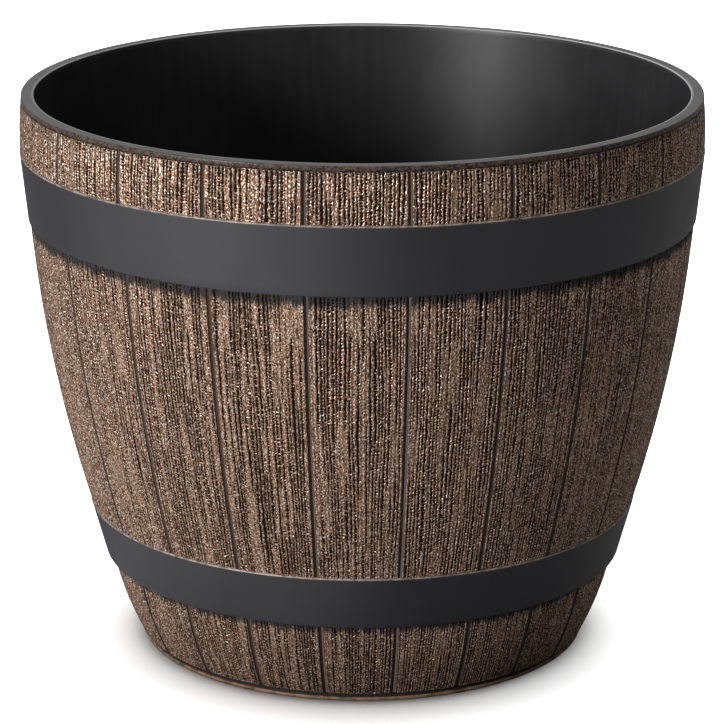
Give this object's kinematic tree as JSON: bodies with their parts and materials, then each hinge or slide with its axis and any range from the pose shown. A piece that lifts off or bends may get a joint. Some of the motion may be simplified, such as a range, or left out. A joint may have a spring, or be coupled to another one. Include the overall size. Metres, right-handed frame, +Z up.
{
  "type": "barrel planter",
  "caption": "Round barrel-style floor planter: bowed wood-effect staves held by dark hoops on a foot ring, with a lift-out liner pot and pull-out drain plugs.",
  "frame": {"origin": "on the ground under the barrel's axis, at the centre of the foot ring's underside", "axes": "+Z up along the barrel's axis, -Y towards the viewer of the picture"},
  "size_m": [0.393, 0.393, 0.3242],
  "materials": {
    "stave": "moulded wood-grain relief, bronze dry-brushed over charcoal, low sheen",
    "hoop": "smooth satin charcoal, bronze rub along the edges",
    "foot": "satin charcoal, bronze rub along the edge",
    "liner": "smooth satin charcoal",
    "plug": "matt black"
  },
  "bodies": {
    "barrel": {"stave_01": "stave", "stave_02": "stave", "stave_03": "stave", "stave_04": "stave", "stave_05": "stave", "stave_06": "stave", "stave_07": "stave", "stave_08": "stave", "stave_09": "stave", "stave_10": "stave", "stave_11": "stave", "stave_12": "stave", "stave_13": "stave", "stave_14": "stave", "stave_15": "stave", "stave_16": "stave", "stave_17": "stave", "stave_18": "stave", "stave_19": "stave", "stave_20": "stave", "stave_21": "stave", "stave_22": "stave", "upper_hoop": "hoop", "lower_hoop": "hoop", "foot_ring": "foot"},
    "liner": {"liner_pot": "liner"},
    "plug_1": {"drain_plug_1": "plug"},
    "plug_2": {"drain_plug_2": "plug"},
    "plug_3": {"drain_plug_3": "plug"},
    "plug_4": {"drain_plug_4": "plug"}
  },
  "joints": [
    {"name": "liner_lift", "type": "slide", "parent": "barrel", "child": "liner", "axis": [0, 0, 1], "range_m": [0, 0.335]},
    {"name": "plug_1_pull", "type": "slide", "parent": "liner", "child": "plug_1", "axis": [0, 0, 1], "range_m": [0, 0.34]},
    {"name": "plug_2_pull", "type": "slide", "parent": "liner", "child": "plug_2", "axis": [0, 0, 1], "range_m": [0, 0.34]},
    {"name": "plug_3_pull", "type": "slide", "parent": "liner", "child": "plug_3", "axis": [0, 0, 1], "range_m": [0, 0.34]},
    {"name": "plug_4_pull", "type": "slide", "parent": "liner", "child": "plug_4", "axis": [0, 0, 1], "range_m": [0, 0.34]}
  ]
}
